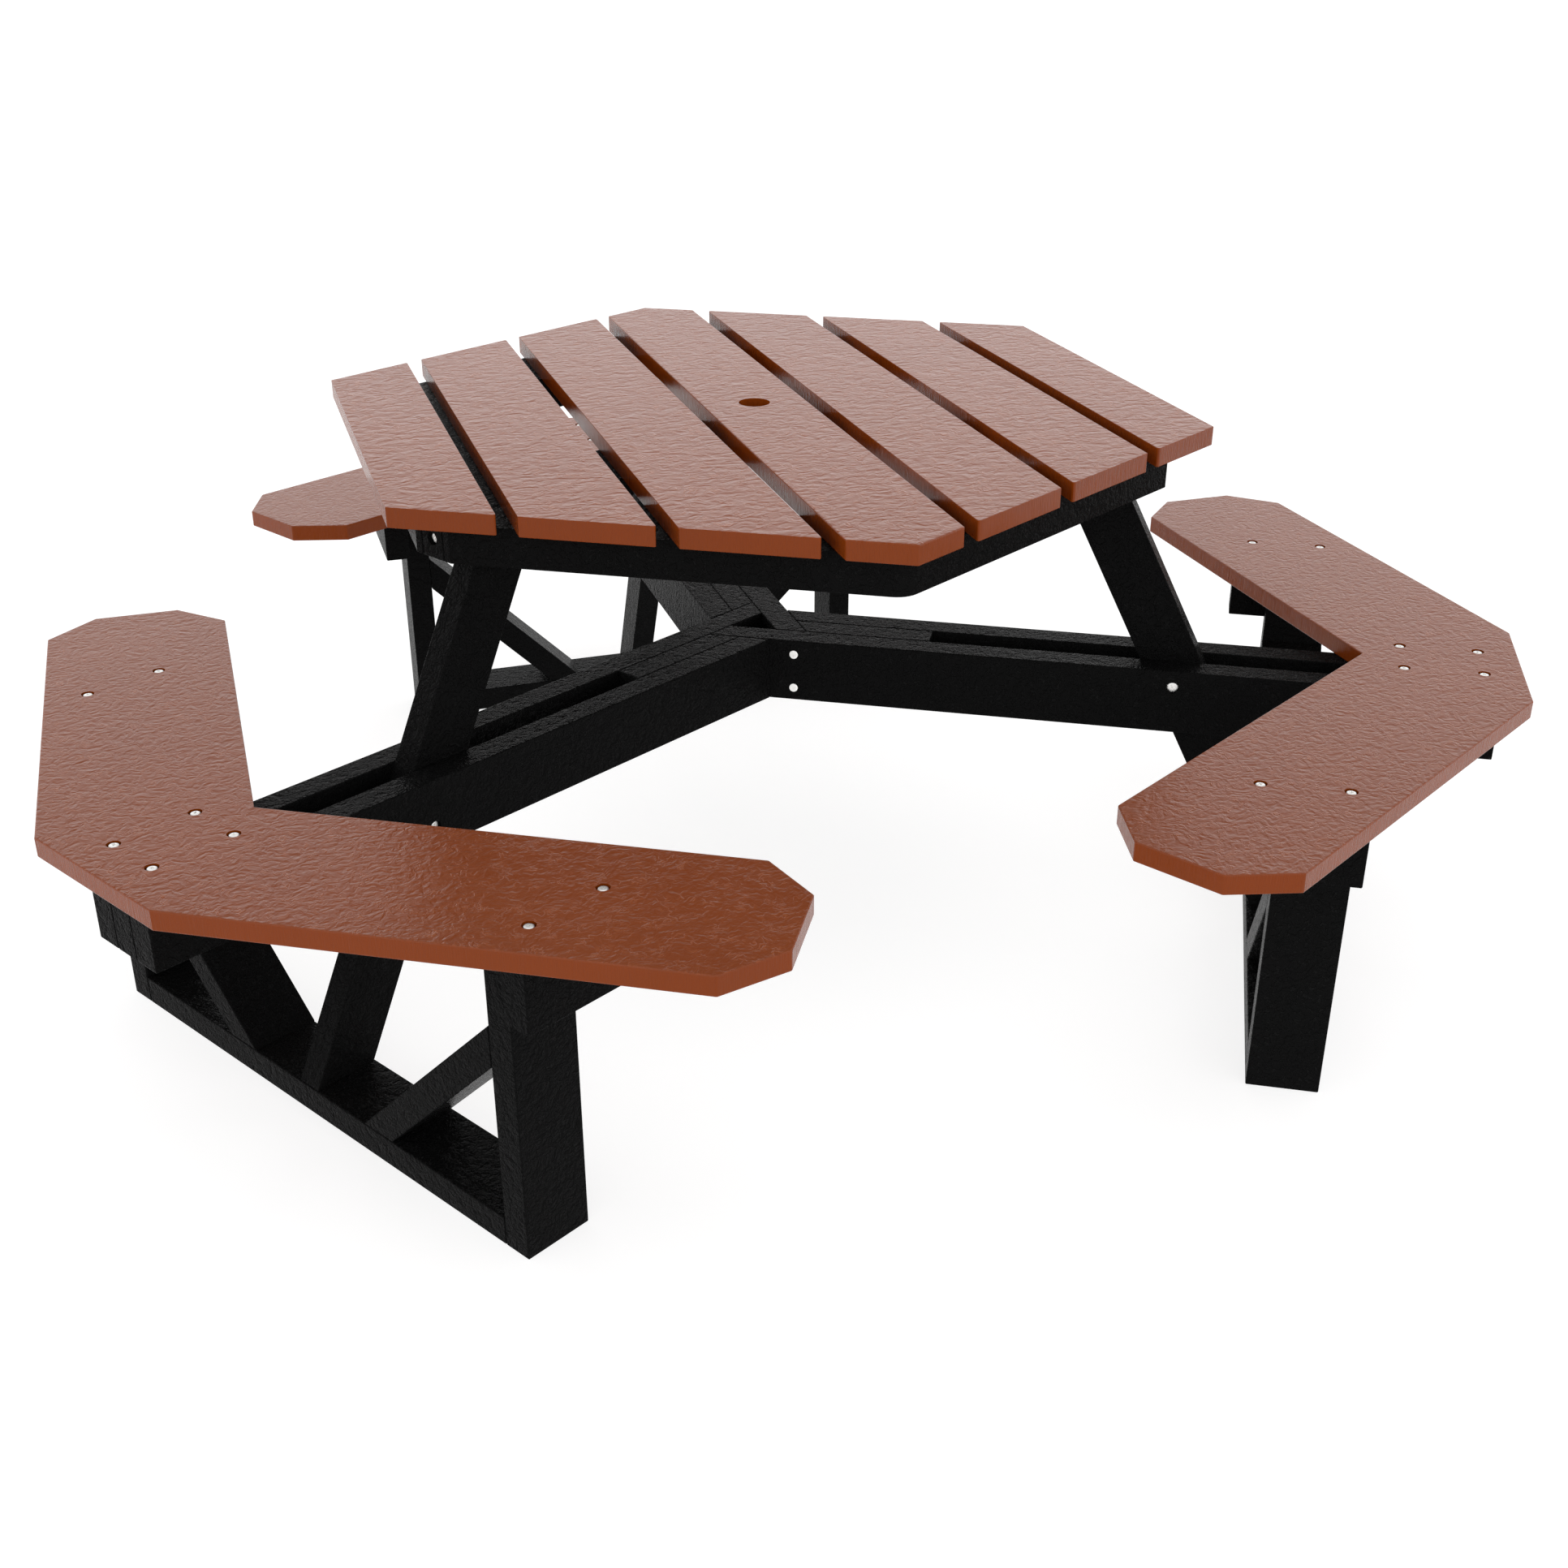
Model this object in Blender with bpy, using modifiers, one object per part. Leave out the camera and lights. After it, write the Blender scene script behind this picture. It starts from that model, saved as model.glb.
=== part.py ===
"""Hexagonal picnic table in recycled plastic boards, with three V-shaped benches on a shared frame.

Blender 4.5, metres, +Z up. The floor is Z = 0, and the origin is under the middle of the whole
table's bounding box. Three identical arms run out from a hub below the umbrella hole, so each
piece of an arm is modelled in that arm's own frame (X outwards, Y across, Z up), under an empty
that stands at the hub and turns it into place.
"""

from math import cos, pi, radians, sin, sqrt, tan

import bmesh
import bpy
from mathutils import Matrix, Vector

# ---- driving dimensions, in metres ----
TABLE_HEIGHT = 0.722      # floor to the top of the tabletop
SEAT_HEIGHT = 0.430       # floor to the top of the benches
PLANK = 0.0245            # thickness of the brown slats and benches
LUMBER = 0.038            # thickness of the black boards
LUMBER_WIDE = 0.089       # their width
GAP = 0.0003              # left between pieces that touch

TOP_HALF = 0.528          # hub to the two tabletop sides that run along the slats
TOP_APOTHEM = 0.518       # hub to the four slanted sides
SLAT_COUNT = 7
SLAT_WIDE = 0.139
SLAT_GAP = 0.022
UMBRELLA_HOLE = 0.042     # diameter

SEAT_APOTHEM = 0.716      # hub to a bench wing's inner edge
SEAT_WIDE = 0.232
SEAT_REACH = 0.2375       # along a wing, from the hub's square line to the clipped end
SEAT_CLIP = 0.061         # legs of the two 45 degree clips at each end
SEAT_APEX = 1.028         # hub to the bench's cut-off outer corner
SEAT_SCREWS = ((0.689, 0.4223), (0.790, 0.4223), (0.878, 0.038), (0.978, 0.038))
RECESS = 0.016            # diameter of a screw's or bolt's recess
SEAT_RECESS_DEEP = 0.007
BOLT_RECESS_DEEP = 0.009

RAIL_APOTHEM = 0.4915     # hub to the outer face of the rails under the tabletop
RAIL_WIDE = 0.115
RAIL_DEEP = 0.048
RAIL_TIP = 0.550          # hub to the rails' cut-off corners, over the legs
RAIL_BEND = 0.030         # radius of a rail's outer bend
BATTEN_WIDE = 0.114
BATTEN_START = 0.026      # leaves room for an umbrella pole at the hub
BATTEN_END = 0.385

ARM_END = 1.003
HUB_SPACER_END = 0.250    # the spacer fills the arm's slot from the hub to here
END_SPACER = 0.076        # length of the spacer at the arm's outer end

LEG_TILT = radians(63.1)  # above the horizontal; the leg leans in towards the hub
LEG_WIDE = 0.074
LEG_FOOT = 0.724          # hub to the leg's inner corner, on the sill

TRUSS_RADIUS = 0.763      # hub to the middle of the truss under each bench
POST_OUTSIDE = 0.403      # middle of the truss to a post's outer face
BRACE_FOOT = 0.1105       # middle of the truss to a brace's nearer corner, on the sill
SEAT_BEAM_START = 0.665
SEAT_BEAM_END = 0.816

BOLT_OUT, BOLT_HEIGHT = 0.5845, 0.381      # leg bolt, driven in through the long board
SCREW_OUT, SCREW_HEIGHT = 0.6245, 0.344    # the recess in the short board for a second one
BOLT = 0.0095             # shank diameter
BOLT_REACH = 0.045        # the bolt's point, past the middle of the arm
BOLT_HEAD = 0.0150        # head diameter
BOLT_HEAD_HIGH = 0.002

EDGE = 0.0015             # rounding of a sawn edge
SHARP_CORNER = 0.005      # rounding of the slats' 60 degree corners
ROUND_SIDES = 32          # sides of a drilled hole
DRILL_PAST = 0.010        # how far a drill starts outside the face it enters
BEND_STEP = radians(10)   # turn from one flat of a rail's rounded bend to the next

# ---- levels and places that follow from them ----
TOP_UNDER = TABLE_HEIGHT - PLANK
SEAT_UNDER = SEAT_HEIGHT - PLANK
ARM_BOTTOM = SEAT_UNDER - LUMBER_WIDE
SLOT = LUMBER / 2                        # middle of the arm to a board's inner face
ARM_SIDE = SLOT + LUMBER                 # and to its outer face
LEG_RUN = 1 / tan(LEG_TILT)              # how far the leg leans in for each metre up
LEG_FLAT = LEG_WIDE / sin(LEG_TILT)      # the leg's width along the sill
LEG_SIDE = SLOT + GAP                    # middle of a leg to the ends of the rails beside it
RAIL_BOTTOM = TOP_UNDER - GAP - RAIL_DEEP
WING_CORNER = SEAT_REACH - SEAT_CLIP
BENCH_FRONT = (SEAT_APOTHEM + SEAT_WIDE) * cos(radians(30)) + WING_CORNER * sin(radians(30))
HUB_Y = (BENCH_FRONT - SEAT_APEX) / 2    # hub's place once the bounding box is centred

ARM_ANGLES = (210, -30, 90)
BEND_ANGLES = (270, 30, 150)

BROWN = (0.250, 0.075, 0.026)
BLACK = (0.012, 0.012, 0.013)
STEEL = (0.60, 0.60, 0.60)


def clear_scene():
    for obj in list(bpy.data.objects):
        bpy.data.objects.remove(obj, do_unlink=True)


def new_collection(name):
    collection = bpy.data.collections.new(name)
    bpy.context.scene.collection.children.link(collection)
    return collection


def plastic_or_steel(name, colour, roughness, metallic=0.0):
    material = bpy.data.materials.new(name)
    material.use_nodes = True
    shader = material.node_tree.nodes["Principled BSDF"]
    shader.inputs["Base Color"].default_value = (*colour, 1)
    shader.inputs["Roughness"].default_value = roughness
    shader.inputs["Metallic"].default_value = metallic
    material.diffuse_color = (*colour, 1)
    return material


def frame_at_hub(name, angle):
    """An empty at the hub, turned so that its X runs out at this angle in degrees."""
    empty = bpy.data.objects.new(name, None)
    empty.empty_display_size = 0.1
    empty.location = (0, HUB_Y, 0)
    empty.rotation_euler = (0, 0, radians(angle))
    PARTS.objects.link(empty)
    return empty


def place(name, mesh, frame, location, colour):
    """The object that shows a mesh at a location in a frame, in a material of its own."""
    obj = bpy.data.objects.new(name, mesh)
    obj.parent = frame
    obj.location = location
    look = {
        "brown": (BROWN, 0.45, 0.0),
        "black": (BLACK, 0.50, 0.0),
        "steel": (STEEL, 0.25, 1.0),
    }[colour]
    mesh.materials.append(plastic_or_steel(name + "_" + colour, *look))
    PARTS.objects.link(obj)
    return obj


def soften(obj, width=EDGE, segments=2):
    bevel = obj.modifiers.new("softened_edges", "BEVEL")
    bevel.width = width
    bevel.segments = segments
    bevel.limit_method = "ANGLE"
    bevel.angle_limit = radians(30)


def saw(bm, point, away):
    """Cuts the solid at a plane, drops what lies on the side that away points to, and caps the cut."""
    everything = bm.verts[:] + bm.edges[:] + bm.faces[:]
    bmesh.ops.bisect_plane(
        bm, geom=everything, plane_co=point, plane_no=away, dist=1e-7, clear_outer=True
    )
    rim = [edge for edge in bm.edges if edge.is_boundary]
    bmesh.ops.holes_fill(bm, edges=rim)


def board(name, frame, colour, size, centre, cuts=(), tilt=None):
    """A sawn board: a block of this size at this centre, tilted, then cut at each (point, away)."""
    bm = bmesh.new()
    bmesh.ops.create_cube(bm, size=1)
    bmesh.ops.scale(bm, vec=size, verts=bm.verts)
    if tilt:
        bmesh.ops.rotate(bm, matrix=tilt, verts=bm.verts)
    for point, away in cuts:
        saw(bm, Vector(point) - Vector(centre), away)
    mesh = bpy.data.meshes.new(name)
    bm.to_mesh(mesh)
    bm.free()
    obj = place(name, mesh, frame, centre, colour)
    soften(obj)
    return obj


def sheet(name, frame, colour, outline, bottom, thickness):
    """A flat piece cut from sheet: a filled 2D curve through the outline, turned into a mesh."""
    curve = bpy.data.curves.new(name, "CURVE")
    curve.dimensions = "2D"
    curve.fill_mode = "BOTH"
    curve.extrude = thickness / 2
    spline = curve.splines.new("POLY")
    spline.points.add(len(outline) - 1)
    for point, (x, y) in zip(spline.points, outline):
        point.co = (x, y, 0, 1)
    spline.use_cyclic_u = True
    drawn = bpy.data.objects.new(name + "_outline", curve)
    PARTS.objects.link(drawn)
    depsgraph = bpy.context.evaluated_depsgraph_get()
    mesh = bpy.data.meshes.new_from_object(drawn.evaluated_get(depsgraph))
    bpy.data.objects.remove(drawn, do_unlink=True)
    mesh.name = name
    bm = bmesh.new()
    bm.from_mesh(mesh)
    bmesh.ops.remove_doubles(bm, verts=bm.verts, dist=1e-5)
    bmesh.ops.dissolve_limit(bm, angle_limit=radians(1), verts=bm.verts, edges=bm.edges)
    bmesh.ops.recalc_face_normals(bm, faces=bm.faces)
    bm.to_mesh(mesh)
    bm.free()
    mesh.materials.clear()
    obj = place(name, mesh, frame, (0, 0, bottom + thickness / 2), colour)
    soften(obj)
    return obj


def drill(name, frame, holes):
    """A cutter in a frame: one round bar for each (start, end, diameter)."""
    bm = bmesh.new()
    for start, end, diameter in holes:
        start, end = Vector(start), Vector(end)
        run = end - start
        turn = Vector((0, 0, 1)).rotation_difference(run).to_matrix().to_4x4()
        bmesh.ops.create_cone(
            bm, cap_ends=True, segments=ROUND_SIDES, radius1=diameter / 2, radius2=diameter / 2,
            depth=run.length, matrix=Matrix.Translation((start + end) / 2) @ turn,
        )
    mesh = bpy.data.meshes.new(name)
    bm.to_mesh(mesh)
    bm.free()
    cutter = bpy.data.objects.new(name, mesh)
    cutter.parent = frame
    cutter.display_type = "WIRE"
    cutter.hide_render = True
    CUTTERS.objects.link(cutter)
    return cutter


def bore(obj, cutter):
    cut = obj.modifiers.new("drilled", "BOOLEAN")
    cut.operation = "DIFFERENCE"
    cut.solver = "EXACT"
    cut.object = cutter


def wing_point(out, along, side=1):
    """A point of a part with two wings that meet at 120 degrees, in the frame between them.

    out is measured squarely from the hub across the wing, and along runs away from the bend.
    """
    x = out * cos(radians(30)) - along * sin(radians(30))
    y = out * sin(radians(30)) + along * cos(radians(30))
    return (x, side * y)


# ---- tabletop ----

def tabletop():
    hub = frame_at_hub("tabletop_frame", 0)
    pitch = SLAT_WIDE + SLAT_GAP
    reach = TOP_APOTHEM / cos(radians(30))
    for number in range(1, SLAT_COUNT + 1):
        place_along = number - (SLAT_COUNT + 1) / 2
        left = place_along * pitch - SLAT_WIDE / 2
        right = left + SLAT_WIDE
        left, right = max(left, -TOP_HALF), min(right, TOP_HALF)
        centre = ((left + right) / 2, 0, TABLE_HEIGHT - PLANK / 2)
        sides = [(cos(radians(a)), sin(radians(a)), 0) for a in (60, 120, 240, 300)]
        cuts = [(Vector(side) * TOP_APOTHEM, side) for side in sides]
        slat = board(
            f"slat_{number}", hub, "brown", (right - left, 2 * reach, PLANK), centre, cuts
        )
        round_sharp_corners(slat.data)
        if place_along == 0:
            bottom, top = (0, 0, TOP_UNDER - DRILL_PAST), (0, 0, TABLE_HEIGHT + DRILL_PAST)
            bore(slat, drill("umbrella_hole", hub, [(bottom, top, UMBRELLA_HOLE)]))


def round_sharp_corners(mesh):
    """Rounds a slat's upright edges where two of its sides meet at 60 degrees."""
    bm = bmesh.new()
    bm.from_mesh(mesh)
    sharp = []
    for edge in bm.edges:
        upright = abs((edge.verts[0].co - edge.verts[1].co).normalized().z) > 0.99
        if upright and edge.calc_face_angle() > radians(100):
            sharp.append(edge)
    if sharp:
        bmesh.ops.bevel(
            bm, geom=sharp, offset=SHARP_CORNER, offset_type="OFFSET", segments=4,
            profile=0.5, affect="EDGES",
        )
    bm.to_mesh(mesh)
    bm.free()


def top_rails():
    """Three V-shaped rails under the tabletop's rim. Each bends under a free corner of the top."""
    inner = RAIL_APOTHEM - RAIL_WIDE
    tip_along = (RAIL_TIP - RAIL_APOTHEM * cos(radians(30))) / sin(radians(30))
    wing = [
        wing_point(RAIL_APOTHEM, tip_along),
        wing_point(*beside_leg_at_radius(RAIL_TIP)),
        wing_point(inner, (inner * sin(radians(30)) - LEG_SIDE) / cos(radians(30))),
    ]
    bend_centre = (RAIL_APOTHEM - RAIL_BEND) / cos(radians(30))
    bend = []
    for step in range(-3, 4):
        turn = step * BEND_STEP
        bend.append((bend_centre + RAIL_BEND * cos(turn), RAIL_BEND * sin(turn)))
    crook = (inner / cos(radians(30)), 0)
    mirrored = [(x, -y) for x, y in reversed(wing)]
    for number, angle in enumerate(BEND_ANGLES, start=1):
        sheet(
            f"top_rail_{number}", frame_at_hub(f"bend_frame_{number}", angle), "black",
            bend + wing + [crook] + mirrored, RAIL_BOTTOM, RAIL_DEEP,
        )


def beside_leg_at_radius(radius):
    """Where the plane along a leg's side meets this radius, as (out, along) of the wing beside it."""
    out = radius * cos(radians(30)) + LEG_SIDE * sin(radians(30))
    along = radius * sin(radians(30)) - LEG_SIDE * cos(radians(30))
    return out, along


def top_batten(number, arm):
    """A flat board under the slats, mitred against its two neighbours at the hub."""
    size = (BATTEN_END - BATTEN_START, BATTEN_WIDE, PLANK)
    centre = ((BATTEN_START + BATTEN_END) / 2, 0, TOP_UNDER - GAP - PLANK / 2)
    mitres = [(-sin(radians(60)), side * cos(radians(60)), 0) for side in (1, -1)]
    cuts = [(Vector(away) * -GAP, away) for away in mitres]
    board(f"top_batten_{number}", arm, "black", size, centre, cuts)


# ---- arms and legs ----

def arm_boards(number, arm, bolt_hole, long_recess, short_recess):
    """The arm's two boards on edge. The long one passes the hub and stops on a neighbour's long
    board, and the short one stops on the other neighbour's, so the three arms interlock."""
    depth = SEAT_UNDER - GAP - ARM_BOTTOM
    level = ARM_BOTTOM + depth / 2
    passed = Vector((sin(radians(60)), -cos(radians(60)), 0))
    met = Vector((-sin(radians(60)), -cos(radians(60)), 0))
    on_passed = (passed * (GAP - SLOT), -passed)
    on_met = (met * (-ARM_SIDE - GAP), met)

    start = -3 * LUMBER  # well past the hub, for the saw to trim
    size = (ARM_END - start, LUMBER, depth)
    middle = SLOT + LUMBER / 2
    long_board = board(
        f"arm_long_{number}", arm, "black", size, ((start + ARM_END) / 2, -middle, level),
        [on_passed],
    )
    short_board = board(
        f"arm_short_{number}", arm, "black", (ARM_END, LUMBER, depth), (ARM_END / 2, middle, level),
        [on_met],
    )
    bore(long_board, bolt_hole)
    bore(long_board, long_recess)
    bore(short_board, bolt_hole)
    bore(short_board, short_recess)

    width = 2 * (SLOT - GAP)
    board(
        f"hub_spacer_{number}", arm, "black", (HUB_SPACER_END, width, depth),
        (HUB_SPACER_END / 2, 0, level), [on_met],
    )
    board(
        f"end_spacer_{number}", arm, "black", (END_SPACER, width, depth),
        (ARM_END - END_SPACER / 2, 0, level),
    )


def leg(number, arm, bolt_hole):
    """A board on edge that leans in through the arm's slot, from the sill to the tabletop."""
    middle = (LUMBER + TOP_UNDER) / 2
    length = (TOP_UNDER - LUMBER) / sin(LEG_TILT) + 2 * LEG_WIDE
    cuts = [((0, 0, TOP_UNDER - GAP), (0, 0, 1)), ((0, 0, LUMBER + GAP), (0, 0, -1))]
    lean = Matrix.Rotation(LEG_TILT - pi / 2, 3, "Y")
    made = board(
        f"leg_{number}", arm, "black", (LEG_WIDE, 2 * (SLOT - GAP), length),
        (leg_middle(middle), 0, middle), cuts, lean,
    )
    bore(made, bolt_hole)


def leg_middle(height):
    """Distance from the hub to the middle of the leg at this height."""
    return LEG_FOOT + LEG_FLAT / 2 - (height - LUMBER) * LEG_RUN


def leg_block(number, arm):
    """The block between two rails' ends that a leg's top rests against, with a screw's recess."""
    level = RAIL_BOTTOM + RAIL_DEEP / 2
    start = leg_middle(level)
    outward = Vector((sin(LEG_TILT), 0, cos(LEG_TILT)))
    face = Vector((leg_middle(level), 0, level)) + outward * (LEG_WIDE / 2 + GAP)
    block = board(
        f"leg_block_{number}", arm, "black", (RAIL_TIP - start, 2 * (SLOT - GAP), RAIL_DEEP),
        ((start + RAIL_TIP) / 2, 0, level), [(face, -outward)],
    )
    floor, mouth = (RAIL_TIP - BOLT_RECESS_DEEP, 0, level), (RAIL_TIP + DRILL_PAST, 0, level)
    bore(block, drill(f"block_recess_{number}", arm, [(floor, mouth, RECESS)]))


def leg_bolt(number, arm):
    """The pointed bolt through the long board and the leg, a turned profile with its head sunk."""
    inner = ARM_SIDE - BOLT_RECESS_DEEP + GAP
    outer = inner + BOLT_HEAD_HIGH
    profile = [
        (0, outer), (BOLT_HEAD / 2, outer), (BOLT_HEAD / 2, inner), (BOLT / 2, inner),
        (BOLT / 2, BOLT - BOLT_REACH), (0, -BOLT_REACH),
    ]
    bm = bmesh.new()
    corners = [bm.verts.new((radius, 0, height)) for radius, height in profile]
    for first, second in zip(corners, corners[1:]):
        bm.edges.new((first, second))
    mesh = bpy.data.meshes.new(f"leg_bolt_{number}")
    bm.to_mesh(mesh)
    bm.free()
    bolt = place(f"leg_bolt_{number}", mesh, arm, (BOLT_OUT, 0, BOLT_HEIGHT), "steel")
    bolt.rotation_euler = (pi / 2, 0, 0)
    turned = bolt.modifiers.new("turned", "SCREW")
    turned.steps = turned.render_steps = ROUND_SIDES
    turned.use_merge_vertices = True
    turned.merge_threshold = 1e-5
    turned.use_normal_calculate = True
    turned.use_normal_flip = True


# ---- bench and its truss ----

def bench(number, arm):
    """One V-shaped seat cut from sheet, with a recess for each of its eight screws."""
    outer = SEAT_APOTHEM + SEAT_WIDE
    apex_along = (outer * cos(radians(30)) - SEAT_APEX) / sin(radians(30))
    wing = [
        wing_point(SEAT_APOTHEM, WING_CORNER),
        wing_point(SEAT_APOTHEM + SEAT_CLIP, SEAT_REACH),
        wing_point(outer - SEAT_CLIP, SEAT_REACH),
        wing_point(outer, WING_CORNER),
        wing_point(outer, apex_along),
    ]
    crook = (SEAT_APOTHEM / cos(radians(30)), 0)
    mirrored = [(x, -y) for x, y in reversed(wing)]
    seat = sheet(
        f"seat_{number}", arm, "brown", [crook] + wing + mirrored, SEAT_UNDER, PLANK
    )
    bottom, top = SEAT_HEIGHT - SEAT_RECESS_DEEP, SEAT_HEIGHT + DRILL_PAST
    holes = [
        ((x, side * y, bottom), (x, side * y, top), RECESS) for x, y in SEAT_SCREWS for side in (1, -1)
    ]
    bore(seat, drill(f"seat_recesses_{number}", arm, holes))


def truss(number, arm):
    """The upright frame under a bench: a sill, two posts, two braces, and a beam under each end."""
    post_inside = POST_OUTSIDE - LUMBER
    board(
        f"sill_{number}", arm, "black", (LUMBER_WIDE, 2 * (post_inside - GAP), LUMBER),
        (TRUSS_RADIUS, 0, LUMBER / 2),
    )
    brace_middle = (BRACE_FOOT + post_inside) / 2
    brace_rise = brace_middle - BRACE_FOOT
    set_back = LUMBER / 2 / sqrt(2)
    tall = SEAT_UNDER - GAP
    for hand, side in (("left", 1), ("right", -1)):
        board(
            f"post_{hand}_{number}", arm, "black", (LUMBER_WIDE, LUMBER, tall),
            (TRUSS_RADIUS, side * (POST_OUTSIDE - LUMBER / 2), tall / 2),
        )
        board(
            f"brace_{hand}_{number}", arm, "black", (LUMBER_WIDE, 2 * post_inside, LUMBER),
            (TRUSS_RADIUS, side * (brace_middle + set_back), LUMBER + brace_rise - set_back),
            [((0, 0, LUMBER + GAP), (0, 0, -1)), ((0, side * (post_inside - GAP), 0), (0, side, 0))],
            Matrix.Rotation(side * radians(45), 3, "X"),
        )
        board(
            f"seat_beam_{hand}_{number}", arm, "black",
            (SEAT_BEAM_END - SEAT_BEAM_START, LUMBER, LUMBER_WIDE),
            ((SEAT_BEAM_START + SEAT_BEAM_END) / 2, side * (POST_OUTSIDE + GAP + LUMBER / 2),
             tall - LUMBER_WIDE / 2),
        )


clear_scene()
PARTS = new_collection("picnic_table")
CUTTERS = new_collection("cutters")
CUTTERS.hide_render = True

tabletop()
top_rails()
for arm_number, arm_angle in enumerate(ARM_ANGLES, start=1):
    arm_frame = frame_at_hub(f"arm_frame_{arm_number}", arm_angle)
    inside, past = ARM_SIDE - BOLT_RECESS_DEEP, ARM_SIDE + DRILL_PAST
    bolt_hole = drill(f"bolt_hole_{arm_number}", arm_frame, [
        ((BOLT_OUT, -past, BOLT_HEIGHT), (BOLT_OUT, BOLT_REACH + GAP, BOLT_HEIGHT), BOLT + 2 * GAP),
    ])
    long_recess = drill(f"long_board_recess_{arm_number}", arm_frame, [
        ((BOLT_OUT, -inside, BOLT_HEIGHT), (BOLT_OUT, -past, BOLT_HEIGHT), RECESS),
    ])
    short_recess = drill(f"short_board_recess_{arm_number}", arm_frame, [
        ((SCREW_OUT, inside, SCREW_HEIGHT), (SCREW_OUT, past, SCREW_HEIGHT), RECESS),
    ])
    top_batten(arm_number, arm_frame)
    arm_boards(arm_number, arm_frame, bolt_hole, long_recess, short_recess)
    leg(arm_number, arm_frame, bolt_hole)
    leg_block(arm_number, arm_frame)
    leg_bolt(arm_number, arm_frame)
    bench(arm_number, arm_frame)
    truss(arm_number, arm_frame)
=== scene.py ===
"""Hexagonal picnic table in recycled plastic boards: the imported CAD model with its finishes,
its screws and bolts, and a plain studio round it. Metres, +Z up, floor at Z = 0."""

from math import cos, pi, radians, sin

import bpy
from mathutils import Matrix, Vector


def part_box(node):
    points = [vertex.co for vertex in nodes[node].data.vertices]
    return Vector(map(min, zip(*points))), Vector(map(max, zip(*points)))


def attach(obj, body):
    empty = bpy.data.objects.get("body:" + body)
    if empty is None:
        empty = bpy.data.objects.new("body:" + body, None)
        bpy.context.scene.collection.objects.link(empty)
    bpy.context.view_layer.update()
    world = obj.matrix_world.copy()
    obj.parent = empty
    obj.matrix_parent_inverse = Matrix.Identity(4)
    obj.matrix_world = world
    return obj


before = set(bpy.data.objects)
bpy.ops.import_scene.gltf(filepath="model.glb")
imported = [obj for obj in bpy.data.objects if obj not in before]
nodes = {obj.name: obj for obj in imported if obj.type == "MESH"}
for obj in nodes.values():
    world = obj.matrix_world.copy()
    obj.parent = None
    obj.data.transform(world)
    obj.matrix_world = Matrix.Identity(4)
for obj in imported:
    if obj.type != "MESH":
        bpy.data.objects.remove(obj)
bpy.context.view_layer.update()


# ---- tabletop slats ----
# Seven planks of brown high-density polyethylene (HDPE), 139 x 24.5 mm, extruded in recycled
# plastic through a die that leaves a wrinkled wood-like grain across the plank on its broad faces.
# They are screwed on from below, and sawn to the hexagon, so their ends and edges are plain.

def linear(hex_colour):
    """A colour such as "8A4420", read as sRGB, in the linear values that sockets take."""
    channels = [int(hex_colour[i:i + 2], 16) / 255 for i in (0, 2, 4)]
    return [c / 12.92 if c <= 0.04045 else ((c + 0.055) / 1.055) ** 2.4 for c in channels] + [1.0]


def add(tree, kind, inputs=None, **settings):
    """Adds a node: settings are its properties, and inputs its sockets' values or links."""
    made = tree.nodes.new(kind)
    for name, value in settings.items():
        setattr(made, name, value)
    for name, value in (inputs or {}).items():
        if isinstance(value, bpy.types.NodeSocket):
            tree.links.new(value, made.inputs[name])
        else:
            made.inputs[name].default_value = value
    return made


def new_material(name):
    material = bpy.data.materials.new(name)
    material.use_nodes = True
    tree = material.node_tree
    return material, tree, tree.nodes["Principled BSDF"]


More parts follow.
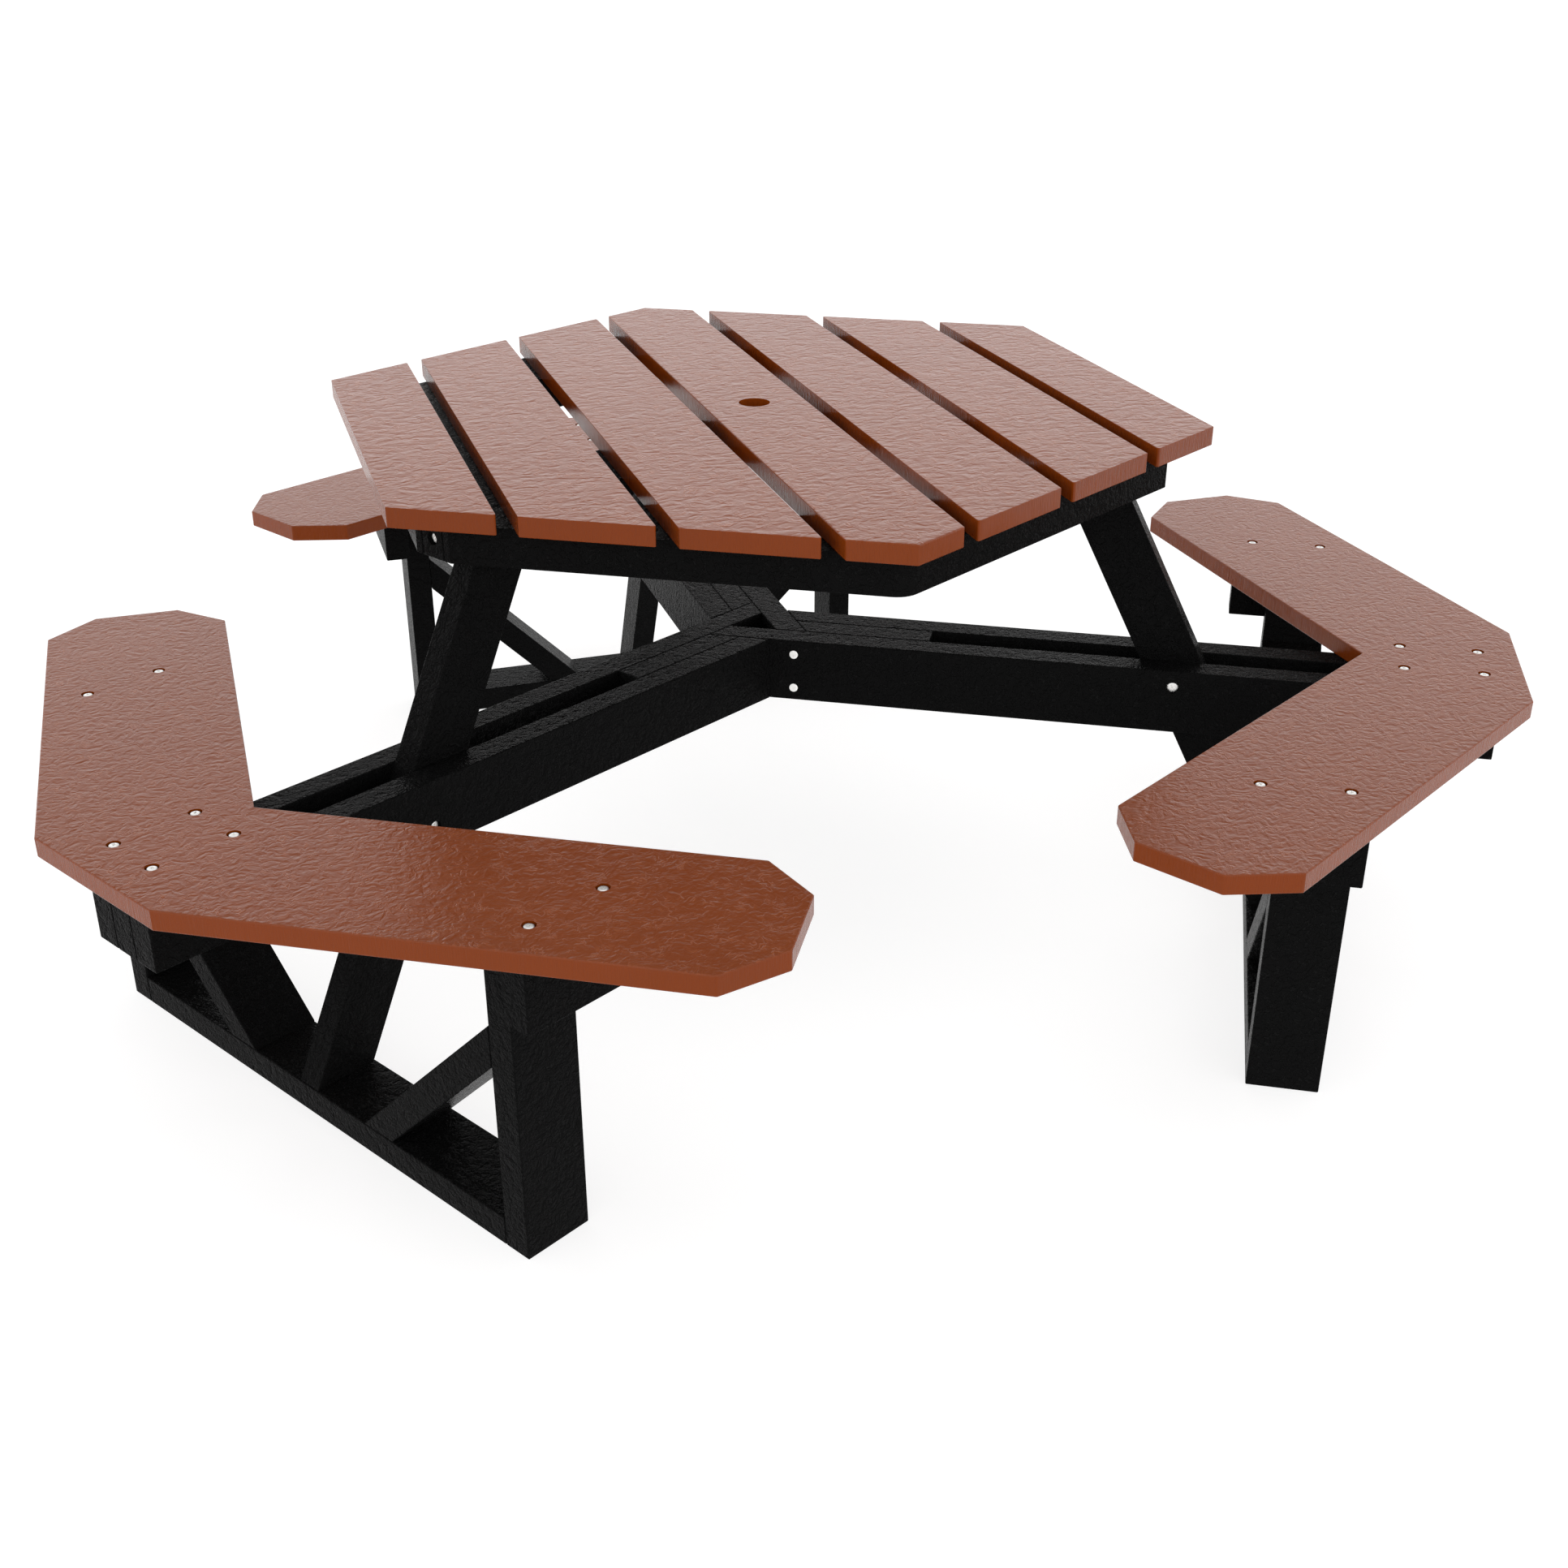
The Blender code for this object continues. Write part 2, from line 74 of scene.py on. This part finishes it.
def brown_hdpe(name, plank_pitch, grain_long, grain_wide, grain_deep):
    """Extruded brown HDPE board. To the eye: a satin wrinkled skin that turns pale at a low angle,
    on a warm brown body, with sawn faces that are smoother, more orange and finely streaked."""
    material, tree, surface = new_material(name)
    at = add(tree, "ShaderNodeTexCoord").outputs["Object"]
    axes = add(tree, "ShaderNodeSeparateXYZ", {"Vector": at}).outputs

    # Each plank has its own stretch of grain, so that none runs on across a gap.
    plank = add(tree, "ShaderNodeMath", {0: axes["X"], 1: plank_pitch}, operation="DIVIDE")
    plank = add(tree, "ShaderNodeMath", {0: plank.outputs[0]}, operation="ROUND").outputs[0]
    own = add(tree, "ShaderNodeMath", {0: plank, 1: 3.7}, operation="MULTIPLY").outputs[0]

    # The wrinkles, bent up to 15 mm aside by a warp that changes over 35 mm.
    warp = add(tree, "ShaderNodeTexNoise", {"Vector": at, "Scale": 1 / 0.035, "Detail": 2.0})
    warp = add(tree, "ShaderNodeVectorMath", {0: warp.outputs["Color"], 1: (0.5, 0.5, 0.5)},
               operation="SUBTRACT")
    bent = add(tree, "ShaderNodeVectorMath", {0: warp.outputs[0], 1: (0.030, 0.030, 0.030), 2: at},
               operation="MULTIPLY_ADD")
    long_way = add(tree, "ShaderNodeMapping",
                   {"Vector": bent.outputs[0],
                    "Scale": (1 / grain_long, 1 / grain_wide, 1 / grain_wide)})
    wrinkle = add(tree, "ShaderNodeTexNoise",
                  {"Vector": long_way.outputs[0], "W": own, "Scale": 1.0, "Detail": 2.0,
                   "Roughness": 0.45}, noise_dimensions="4D")
    crest = add(tree, "ShaderNodeMath", {0: wrinkle.outputs["Fac"], 1: 0.5}, operation="SUBTRACT")
    crest = add(tree, "ShaderNodeMath", {0: crest.outputs[0]}, operation="ABSOLUTE")
    crest = add(tree, "ShaderNodeMapRange",
                {"Value": crest.outputs[0], "From Min": 0.0, "From Max": 0.055, "To Min": 1.0,
                 "To Max": 0.0}, interpolation_type="SMOOTHSTEP").outputs[0]
    # The crests fade in and out over patches of 18 mm, which makes them short.
    patch = add(tree, "ShaderNodeTexNoise",
                {"Vector": at, "W": own, "Scale": 1 / 0.018, "Detail": 1.0},
                noise_dimensions="4D")
    patch = add(tree, "ShaderNodeMapRange",
                {"Value": patch.outputs["Fac"], "From Min": 0.42, "From Max": 0.66}).outputs[0]
    short = add(tree, "ShaderNodeMath", {0: crest, 1: patch}, operation="MULTIPLY").outputs[0]
    # Under them, a finer skin of pebbles 4 to 5 mm across.
    pebble = add(tree, "ShaderNodeTexNoise",
                 {"Vector": bent.outputs[0], "Scale": 1 / 0.0045, "Detail": 2.0}).outputs["Fac"]
    grain = add(tree, "ShaderNodeMath", {0: short, 1: 0.18, 2: wrinkle.outputs["Fac"]},
                operation="MULTIPLY_ADD").outputs[0]
    grain = add(tree, "ShaderNodeMath", {0: pebble, 1: 0.12, 2: grain},
                operation="MULTIPLY_ADD").outputs[0]

    # Broad faces lie flat and sawn ones stand upright, with saw lines drawn 1.2 mm apart to show.
    flat = add(tree, "ShaderNodeSeparateXYZ",
               {"Vector": add(tree, "ShaderNodeNewGeometry").outputs["Normal"]}).outputs["Z"]
    flat = add(tree, "ShaderNodeMath", {0: flat}, operation="ABSOLUTE").outputs[0]
    broad = add(tree, "ShaderNodeMapRange",
                {"Value": flat, "From Min": 0.55, "From Max": 0.85}).outputs[0]
    saw_way = add(tree, "ShaderNodeMapping",
                  {"Vector": at, "Scale": (1 / 0.0012, 1 / 0.0012, 1 / 0.030)})
    saw_line = add(tree, "ShaderNodeTexNoise",
                   {"Vector": saw_way.outputs[0], "Scale": 1.0, "Detail": 1.0}).outputs["Fac"]
    saw_line = add(tree, "ShaderNodeMath", {0: saw_line, 1: 0.30}, operation="MULTIPLY").outputs[0]
    height = add(tree, "ShaderNodeMix", {"Factor": broad, 2: saw_line, 3: grain},
                 data_type="FLOAT").outputs[0]
    relief = add(tree, "ShaderNodeBump",
                 {"Height": height, "Strength": 1.0, "Distance": grain_deep}).outputs[0]

    # Colour: a slow drift of the recycled mix over 150 mm, and a painted highlight that makes the
    # crests a little lighter.
    drift = add(tree, "ShaderNodeTexNoise",
                {"Vector": at, "W": own, "Scale": 1 / 0.15, "Detail": 3.0},
                noise_dimensions="4D").outputs["Fac"]
    body = add(tree, "ShaderNodeMix",
               {"Factor": drift, 6: linear("76381A"), 7: linear("804020")}, data_type="RGBA")
    # The lighter colour on the crests is a painted highlight.
    skin_with_painted_highlight = add(tree, "ShaderNodeMix",
               {"Factor": short, 6: body.outputs[2], 7: linear("8A4A2A")}, data_type="RGBA")
    sawn = add(tree, "ShaderNodeMix",
               {"Factor": drift, 6: linear("6C2E06"), 7: linear("773208")}, data_type="RGBA")
    colour = add(tree, "ShaderNodeMix",
                 {"Factor": broad, 6: sawn.outputs[2], 7: skin_with_painted_highlight.outputs[2]}, data_type="RGBA")
    skin_sheen = add(tree, "ShaderNodeMapRange",
                     {"Value": pebble, "To Min": 0.28, "To Max": 0.40}).outputs[0]
    sheen = add(tree, "ShaderNodeMix", {"Factor": broad, 2: 0.20, 3: skin_sheen},
                data_type="FLOAT").outputs[0]
    tree.links.new(colour.outputs[2], surface.inputs["Base Color"])
    tree.links.new(sheen, surface.inputs["Roughness"])
    tree.links.new(relief, surface.inputs["Normal"])
    surface.inputs["IOR"].default_value = 1.54
    surface.inputs["Specular IOR Level"].default_value = 0.15
    return material


def finish_nodes(names, material):
    for name in names:
        nodes[name].data.materials.clear()
        nodes[name].data.materials.append(material)


slat_pitch = 0.161
slat_plastic = brown_hdpe("brown_hdpe_wrinkled_plank", slat_pitch, grain_long=0.016,
                          grain_wide=0.0095, grain_deep=0.0024)
finish_nodes([f"slat_{number}" for number in range(1, 8)], slat_plastic)


# ---- benches ----
# Three V-shaped seats, each sawn in one piece from 24.5 mm brown HDPE sheet of a finer grain.
# Eight recesses 16 mm across are drilled 7 mm deep for the screws that hold it down.

whole_sheet = 10.0  # a pitch wider than the table, so the grain runs on over each seat
seat_plastic = brown_hdpe("brown_hdpe_wrinkled_sheet", whole_sheet, grain_long=0.0085,
                          grain_wide=0.0070, grain_deep=0.0017)
finish_nodes(["seat_1", "seat_2", "seat_3"], seat_plastic)


# ---- black frame ----
# Rails, battens, arms, legs and trusses, sawn from 38 x 89 mm black HDPE lumber and from sheet.
# The same wrinkled die skin, without direction, in plastic with carbon black: it hides all
# colour and shows only as broken soft highlights on a near-black body.

def black_hdpe():
    """Extruded black HDPE board. To the eye: near black and satin, broken up by its wrinkles."""
    material, tree, surface = new_material("black_hdpe_wrinkled_lumber")
    at = add(tree, "ShaderNodeTexCoord").outputs["Object"]
    warp = add(tree, "ShaderNodeTexNoise", {"Vector": at, "Scale": 1 / 0.035, "Detail": 1.0})
    warp = add(tree, "ShaderNodeVectorMath", {0: warp.outputs["Color"], 1: (0.5, 0.5, 0.5)},
               operation="SUBTRACT")
    bent = add(tree, "ShaderNodeVectorMath", {0: warp.outputs[0], 1: (0.018, 0.018, 0.018), 2: at},
               operation="MULTIPLY_ADD").outputs[0]
    # Wrinkles about 9 mm apart, broken up by finer pebbles.
    wrinkle = add(tree, "ShaderNodeTexNoise",
                  {"Vector": bent, "Scale": 1 / 0.009, "Detail": 2.5, "Roughness": 0.5}
                  ).outputs["Fac"]
    crest = add(tree, "ShaderNodeMath", {0: wrinkle, 1: 0.5}, operation="SUBTRACT")
    crest = add(tree, "ShaderNodeMath", {0: crest.outputs[0]}, operation="ABSOLUTE")
    crest = add(tree, "ShaderNodeMapRange",
                {"Value": crest.outputs[0], "From Min": 0.0, "From Max": 0.05, "To Min": 1.0,
                 "To Max": 0.0}, interpolation_type="SMOOTHSTEP").outputs[0]
    pebble = add(tree, "ShaderNodeTexNoise",
                 {"Vector": bent, "Scale": 1 / 0.0035, "Detail": 2.0}).outputs["Fac"]
    height = add(tree, "ShaderNodeMath", {0: crest, 1: 0.30, 2: wrinkle},
                 operation="MULTIPLY_ADD").outputs[0]
    height = add(tree, "ShaderNodeMath", {0: pebble, 1: 0.35, 2: height}, operation="MULTIPLY_ADD")
    relief = add(tree, "ShaderNodeBump",
                 {"Height": height.outputs[0], "Strength": 1.0, "Distance": 0.0048}).outputs[0]
    # The crests are painted greyer than the rest, as a painted highlight.
    colour = add(tree, "ShaderNodeMix",
                 {"Factor": crest, 6: linear("0F0F0F"), 7: linear("151515")}, data_type="RGBA")
    sheen = add(tree, "ShaderNodeMapRange",
                {"Value": pebble, "To Min": 0.20, "To Max": 0.32}).outputs[0]
    tree.links.new(colour.outputs[2], surface.inputs["Base Color"])
    tree.links.new(sheen, surface.inputs["Roughness"])
    tree.links.new(relief, surface.inputs["Normal"])
    surface.inputs["IOR"].default_value = 1.54
    surface.inputs["Specular IOR Level"].default_value = 0.007
    return material


black_plastic = black_hdpe()
arms = (1, 2, 3)
frame_kinds = (
    "top_rail", "top_batten", "leg", "leg_block", "arm_long", "arm_short", "hub_spacer",
    "end_spacer", "sill", "post_left", "post_right", "brace_left", "brace_right",
    "seat_beam_left", "seat_beam_right",
)
finish_nodes([f"{kind}_{arm}" for kind in frame_kinds for arm in arms], black_plastic)


# ---- screws ----
# Stainless steel screws with low domed heads and a cross drive, cold-headed and left bright.
# Eight hold each bench, two each arm's long board at the hub, and one each leg block. Smaller
# heads show where screws driven up through the rails and battens hold the slats.

def stainless_steel():
    """Cold-headed stainless steel: bright, with fine scratches that spread the highlight."""
    material, tree, surface = new_material("stainless_steel_cold_headed")
    at = add(tree, "ShaderNodeTexCoord").outputs["Object"]
    # Scratches half a millimetre apart; real ones are finer than that and wouldn't show.
    scratch = add(tree, "ShaderNodeTexNoise", {"Vector": at, "Scale": 1 / 0.0005, "Detail": 2.0})
    dull = add(tree, "ShaderNodeMapRange",
               {"Value": scratch.outputs["Fac"], "To Min": 0.43, "To Max": 0.57}).outputs[0]
    tint = add(tree, "ShaderNodeMix",
               {"Factor": scratch.outputs["Fac"], 6: linear("F3F2EF"), 7: linear("FAF9F7")},
               data_type="RGBA")
    relief = add(tree, "ShaderNodeBump",
                 {"Height": scratch.outputs["Fac"], "Strength": 0.15, "Distance": 0.0001})
    tree.links.new(tint.outputs[2], surface.inputs["Base Color"])
    tree.links.new(dull, surface.inputs["Roughness"])
    tree.links.new(relief.outputs[0], surface.inputs["Normal"])
    surface.inputs["Metallic"].default_value = 1.0
    return material


def screw_head_tree():
    """Geometry Nodes: a screw's head on each point, facing along the point's own direction."""
    tree = bpy.data.node_groups.new("screw_heads", "GeometryNodeTree")
    face = tree.interface
    face.new_socket("Geometry", in_out="INPUT", socket_type="NodeSocketGeometry")
    for name, value in (("Head Radius", 0.006), ("Head Height", 0.004), ("Drive Length", 0.006),
                        ("Drive Width", 0.0014), ("Drive Depth", 0.0016)):
        socket = face.new_socket(name, in_out="INPUT", socket_type="NodeSocketFloat")
        socket.default_value = value
    face.new_socket("Turn Seed", in_out="INPUT", socket_type="NodeSocketInt")
    face.new_socket("Finish", in_out="INPUT", socket_type="NodeSocketMaterial")
    face.new_socket("Geometry", in_out="OUTPUT", socket_type="NodeSocketGeometry")
    given = add(tree, "NodeGroupInput").outputs

    # The head: a round blank drawn up in four steps that narrow to a low dome.
    blank = add(tree, "GeometryNodeMeshCircle",
                {"Vertices": 28, "Radius": given["Head Radius"]}, fill_type="NGON")
    head, top = blank.outputs["Mesh"], None
    for rise, narrower in ((0.78, 1.0), (0.11, 0.95), (0.07, 0.84), (0.04, 0.60)):
        lift = add(tree, "ShaderNodeMath", {0: given["Head Height"], 1: rise},
                   operation="MULTIPLY")
        links = {"Mesh": head, "Offset Scale": lift.outputs[0], "Individual": False}
        links.update({"Selection": top} if top else {})
        drawn = add(tree, "GeometryNodeExtrudeMesh", links, mode="FACES")
        top = drawn.outputs["Top"]
        head = add(tree, "GeometryNodeScaleElements",
                   {"Geometry": drawn.outputs["Mesh"], "Selection": top, "Scale": narrower},
                   domain="FACE").outputs[0]

    # The drive: a cross of two bars pressed into the dome.
    middle = add(tree, "ShaderNodeCombineXYZ", {"Z": given["Head Height"]}).outputs[0]
    deep = add(tree, "ShaderNodeMath", {0: given["Drive Depth"], 1: 2.0}, operation="MULTIPLY")
    for along, across in (("Drive Length", "Drive Width"), ("Drive Width", "Drive Length")):
        size = add(tree, "ShaderNodeCombineXYZ",
                   {"X": given[along], "Y": given[across], "Z": deep.outputs[0]})
        bar = add(tree, "GeometryNodeMeshCube", {"Size": size.outputs[0]})
        bar = add(tree, "GeometryNodeTransform", {"Geometry": bar.outputs[0], "Translation": middle})
        pressed = add(tree, "GeometryNodeMeshBoolean", {"Mesh 1": head, "Mesh 2": bar.outputs[0]},
                      operation="DIFFERENCE", solver="EXACT")
        head = pressed.outputs["Mesh"]

    facing = add(tree, "GeometryNodeInputNamedAttribute", {"Name": "facing"},
                 data_type="FLOAT_VECTOR").outputs["Attribute"]
    aimed = add(tree, "FunctionNodeAlignRotationToVector", {"Vector": facing}, axis="Z")
    turn = add(tree, "FunctionNodeRandomValue", {"Seed": given["Turn Seed"]}, data_type="FLOAT")
    turn = add(tree, "ShaderNodeMath", {0: turn.outputs[1], 1: pi}, operation="MULTIPLY")
    spin = add(tree, "ShaderNodeCombineXYZ", {"Z": turn.outputs[0]})
    placed = add(tree, "GeometryNodeInstanceOnPoints",
                 {"Points": given["Geometry"], "Instance": head,
                  "Rotation": aimed.outputs["Rotation"]})
    spun = add(tree, "GeometryNodeRotateInstances",
               {"Instances": placed.outputs[0], "Rotation": spin.outputs[0], "Local Space": True})
    real = add(tree, "GeometryNodeRealizeInstances", {"Geometry": spun.outputs[0]})
    painted = add(tree, "GeometryNodeSetMaterial",
                  {"Geometry": real.outputs[0], "Material": given["Finish"]})
    add(tree, "NodeGroupOutput", {"Geometry": painted.outputs[0]})
    return tree


def screws(name, places, finish, seed, **sizes):
    """One piece with a screw's head at each (point its base stands on, direction it faces)."""
    points = bpy.data.meshes.new(name + "_places")
    points.from_pydata([point for point, _ in places], [], [])
    facing = points.attributes.new("facing", "FLOAT_VECTOR", "POINT")
    for row, (_, direction) in zip(facing.data, places):
        row.vector = direction
    holder = bpy.data.objects.new(name + "_places", points)
    bpy.context.scene.collection.objects.link(holder)
    heads = holder.modifiers.new("heads", "NODES")
    heads.node_group = head_tree
    inputs = {item.name: item.identifier for item in head_tree.interface.items_tree
              if item.in_out == "INPUT"}
    heads[inputs["Finish"]] = finish
    heads[inputs["Turn Seed"]] = seed
    for size, value in sizes.items():
        heads[inputs[size.replace("_", " ").title()]] = value
    evaluated = holder.evaluated_get(bpy.context.evaluated_depsgraph_get())
    mesh = bpy.data.meshes.new_from_object(evaluated)
    mesh.name = name
    bpy.data.objects.remove(holder)
    piece = bpy.data.objects.new(name, mesh)
    bpy.context.scene.collection.objects.link(piece)
    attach(piece, "root")
    return piece


low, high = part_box("slat_4")          # the middle slat, centred over the hub
hub = Vector((0, (low.y + high.y) / 2, 0))
arm_turns = {1: radians(210), 2: radians(-30), 3: radians(90)}


def from_arm(arm, x, y, z):
    """A point of an arm's own frame, X outwards from the hub and Y across, in the table's."""
    return hub + Matrix.Rotation(arm_turns[arm], 3, "Z") @ Vector((x, y, z))


def arm_direction(arm, x, y, z=0):
    return Matrix.Rotation(arm_turns[arm], 3, "Z") @ Vector((x, y, z))


head_tree = screw_head_tree()
bright_steel = stainless_steel()

bench_recess_deep = 0.007
recess_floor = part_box("seat_1")[1].z - bench_recess_deep
# Out from the hub, and across to either side.
bench_spots = ((0.689, 0.4223), (0.790, 0.4223), (0.878, 0.038), (0.978, 0.038))
for arm in arms:
    places = [(from_arm(arm, x, side * y, recess_floor), (0, 0, 1))
              for x, y in bench_spots for side in (1, -1)]
    screws(f"bench_screws_{arm}", places, bright_steel, seed=arm, head_radius=0.0058,
           head_height=0.0062, drive_length=0.0056)

arm_side = 0.057                      # middle of an arm to its boards' outer faces
hub_screws_out, hub_screws_up = 0.0665, (0.385, 0.335)
places = [(from_arm(arm, hub_screws_out, -arm_side, z), arm_direction(arm, 0, -1))
          for arm in arms for z in hub_screws_up]
screws("hub_screws", places, bright_steel, seed=11, head_radius=0.0060, head_height=0.0014,
       drive_length=0.0046, drive_depth=0.0010)

low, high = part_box("leg_block_3")
board_recess_deep = 0.009
block_end = 0.550                     # hub to the outer end of a leg block
block_recess_floor = block_end - board_recess_deep
places = [(from_arm(arm, block_recess_floor, 0, (high.z + low.z) / 2), arm_direction(arm, 1, 0))
          for arm in arms]
screws("leg_block_screws", places, bright_steel, seed=12, head_radius=0.0062,
       head_height=0.0048, drive_length=0.0056)


def slat_screw_places():
    """Pairs where a slat crosses a rail or batten, and rows where it lies along one, facing down."""
    places = []
    down = (0, 0, -1)
    rail_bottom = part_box("leg_block_3")[0].z  # the blocks are flush with the rails
    rail_outside, rail_wide = 0.4915, 0.115
    rail_line = rail_outside - rail_wide / 2
    under_rail, under_batten = 0.040, 0.035   # middle of a pair to each of its screws
    for number in range(-2, 3):
        for offset in (-under_rail, under_rail):
            x = number * slat_pitch + offset
            slant = radians(60 if x > 0 else 120)
            y = (rail_line - x * cos(slant)) / sin(slant)
            for side in (1, -1):
                places.append((hub + Vector((x, side * y, rail_bottom)), down))
    outer_slat_line, along_outer_slat = 0.452, (-0.21, -0.07, 0.07, 0.21)
    for side in (1, -1):
        for y in along_outer_slat:
            places.append((hub + Vector((side * outer_slat_line, y, rail_bottom)), down))
    batten_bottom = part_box("top_batten_3")[0].z
    batten_across = 0.030
    for arm in (1, 2):
        for step in (1, 2):
            for hand in (-1, 1):
                out = (step * slat_pitch + hand * under_batten) / cos(radians(30))
                place = from_arm(arm, out, hand * batten_across, batten_bottom)
                places.append((place, down))
    along_batten_3 = (0.09, 0.17, 0.25, 0.33)
    for out in along_batten_3:
        for across in (-under_batten, under_batten):
            places.append((from_arm(3, out, across, batten_bottom), down))
    return places


screws("slat_screws", slat_screw_places(), bright_steel, seed=13, head_radius=0.0045,
       head_height=0.0022, drive_length=0.0040, drive_depth=0.0010)


# ---- leg bolts ----
# Two pointed 3/8 inch bolts of the same stainless steel hold each leg in its arm, one driven in
# through the long board and one, lower and further out, through the short board. Their wide heads
# lie in recesses drilled 9 mm deep.

finish_nodes([f"leg_bolt_{arm}" for arm in arms], bright_steel)
bolt_seat = arm_side - board_recess_deep  # middle of the arm to a recess's floor
long_board_out, long_board_up = 0.5845, 0.381
short_board_out, short_board_up = 0.6245, 0.344
places = []
for arm in arms:
    through_long = from_arm(arm, long_board_out, -bolt_seat, long_board_up)
    places.append((through_long, arm_direction(arm, 0, -1)))
    through_short = from_arm(arm, short_board_out, bolt_seat, short_board_up)
    places.append((through_short, arm_direction(arm, 0, 1)))
screws("leg_bolt_heads", places, bright_steel, seed=14, head_radius=0.0077, head_height=0.0040,
       drive_length=0.0070, drive_width=0.0018, drive_depth=0.0015)


# ---- studio ----
# A white floor lit partly from below, as a light table is, inside white walls of soft light that
# darken overhead, with one broad soft lamp above.

floor_mesh = bpy.data.meshes.new("floor")
half = 40.0                           # so far that the floor's edge lies on the horizon
floor_mesh.from_pydata([(-half, -half, 0), (half, -half, 0), (half, half, 0), (-half, half, 0)],
                       [], [(0, 1, 2, 3)])
floor = bpy.data.objects.new("floor", floor_mesh)
bpy.context.scene.collection.objects.link(floor)
floor_paint, _, floor_surface = new_material("white_studio_floor")
floor_surface.inputs["Base Color"].default_value = linear("A0A0A0")
floor_surface.inputs["Roughness"].default_value = 0.9
floor_surface.inputs["Specular IOR Level"].default_value = 0.0
floor_surface.inputs["Emission Color"].default_value = linear("FFFFFF")
floor_surface.inputs["Emission Strength"].default_value = 0.78
floor_mesh.materials.append(floor_paint)

world = bpy.data.worlds.new("white_studio")
bpy.context.scene.world = world
world.use_nodes = True
sky = world.node_tree
backdrop = sky.nodes["Background"]
toward = add(sky, "ShaderNodeTexCoord").outputs["Generated"]
rise = add(sky, "ShaderNodeSeparateXYZ", {"Vector": toward}).outputs["Z"]
walls = add(sky, "ShaderNodeMapRange",
            {"Value": rise, "From Min": sin(radians(8)), "From Max": sin(radians(27)),
             "To Min": 2.25, "To Max": 1.95}).outputs[0]
ceiling = add(sky, "ShaderNodeMapRange",
              {"Value": rise, "From Min": sin(radians(29)), "From Max": sin(radians(35)),
               "To Min": 1.0, "To Max": 0.1}, interpolation_type="SMOOTHSTEP").outputs[0]
walls = add(sky, "ShaderNodeMath", {0: walls, 1: ceiling}, operation="MULTIPLY").outputs[0]
seen = add(sky, "ShaderNodeLightPath").outputs["Is Camera Ray"]
strength = add(sky, "ShaderNodeMix", {"Factor": seen, 2: walls, 3: 1.0}, data_type="FLOAT")
backdrop.inputs["Color"].default_value = linear("FFFFFF")
sky.links.new(strength.outputs[0], backdrop.inputs["Strength"])

lamp = bpy.data.lights.new("overhead_light", "SUN")
lamp.energy = 1.1
lamp.angle = radians(60)
overhead = bpy.data.objects.new("overhead_light", lamp)
bpy.context.scene.collection.objects.link(overhead)

lens = bpy.data.cameras.new("camera")
lens.lens = 42.92
lens.sensor_width = 36.0
camera = bpy.data.objects.new("camera", lens)
camera.location = hub + Vector((-0.7258, -2.3614, 1.3956))
camera.rotation_euler = (radians(63.206), 0, radians(-18.008))
bpy.context.scene.collection.objects.link(camera)
bpy.context.scene.camera = camera
bpy.context.scene.view_settings.view_transform = "Standard"
